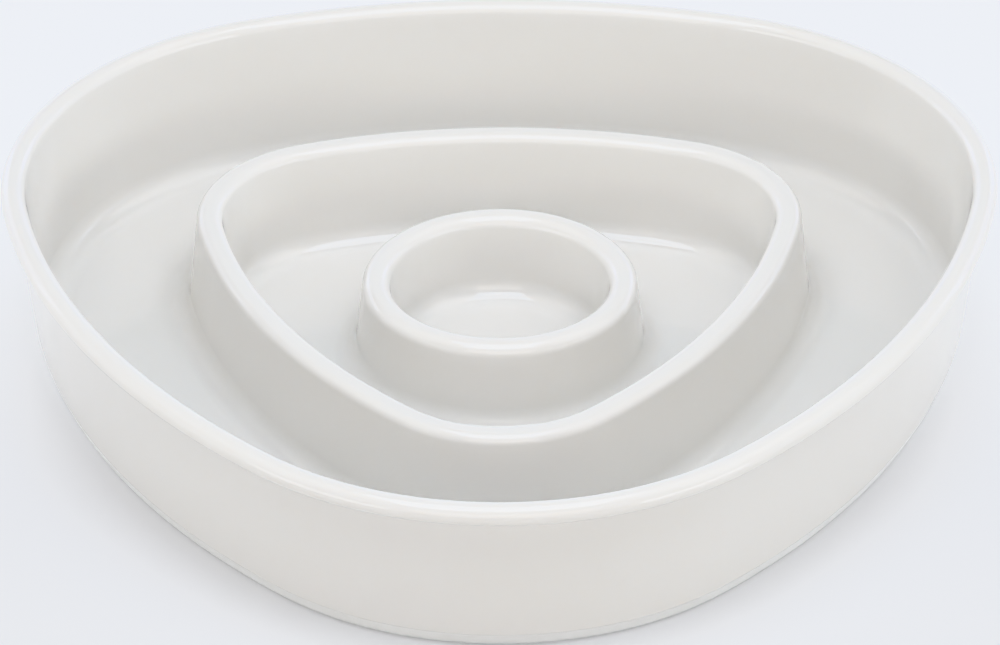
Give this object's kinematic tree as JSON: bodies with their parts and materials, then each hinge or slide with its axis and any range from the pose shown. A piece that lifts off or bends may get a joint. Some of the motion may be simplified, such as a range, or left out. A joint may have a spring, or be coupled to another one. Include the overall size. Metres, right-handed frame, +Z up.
{
  "type": "slow feeder bowl",
  "caption": "Three-cornered slow feeder bowl with a rolled rim, a raised three-sided ridge, a raised round ridge and a soft anti-slip ring under its wall.",
  "frame": {"origin": "on the surface that the bowl stands on, on the axis of the round ridge in the middle", "axes": "+Z up, -Y towards one rounded corner, +Y towards the long side opposite it, +X to the right seen from that corner"},
  "size_m": [0.23, 0.2262, 0.0389],
  "materials": {
    "bowl": "glossy white moulded melamine",
    "anti_slip_ring": "matt white soft rubber"
  },
  "bodies": {
    "root": {"bowl": "bowl", "anti_slip_ring": "anti_slip_ring"}
  },
  "joints": []
}
